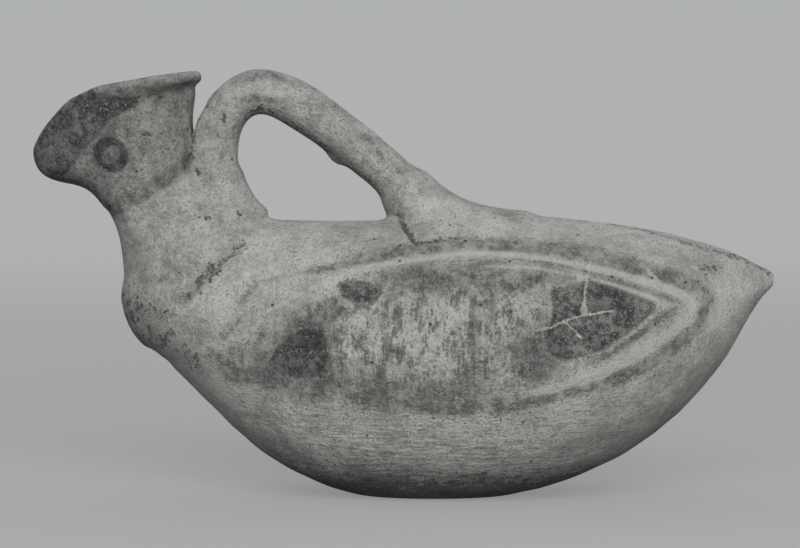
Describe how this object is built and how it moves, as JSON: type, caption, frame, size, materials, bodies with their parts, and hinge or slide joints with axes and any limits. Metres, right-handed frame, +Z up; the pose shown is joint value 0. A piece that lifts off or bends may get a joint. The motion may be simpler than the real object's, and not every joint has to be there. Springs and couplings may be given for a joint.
{
  "type": "duck-shaped vessel",
  "caption": "Closed clay pouring vessel in the shape of a resting duck, with a beaked spout and a handle from nape to back.",
  "frame": {"origin": "on the ground, below the middle of the overall box", "axes": "+Z up, -X towards the beak, +X towards the tail, +Y across the body"},
  "size_m": [0.24, 0.0924, 0.1376],
  "materials": {
    "painted_clay": "matt, worn slip paint",
    "clay": "matt"
  },
  "bodies": {
    "root": {"body_bowl": "painted_clay", "body_cover": "painted_clay", "neck_tube": "painted_clay", "neck_luting": "clay", "spout": "painted_clay", "rim_coil": "painted_clay", "handle": "clay", "handle_nape_luting": "clay", "handle_back_pad": "clay", "handle_scrap": "clay"}
  },
  "joints": []
}
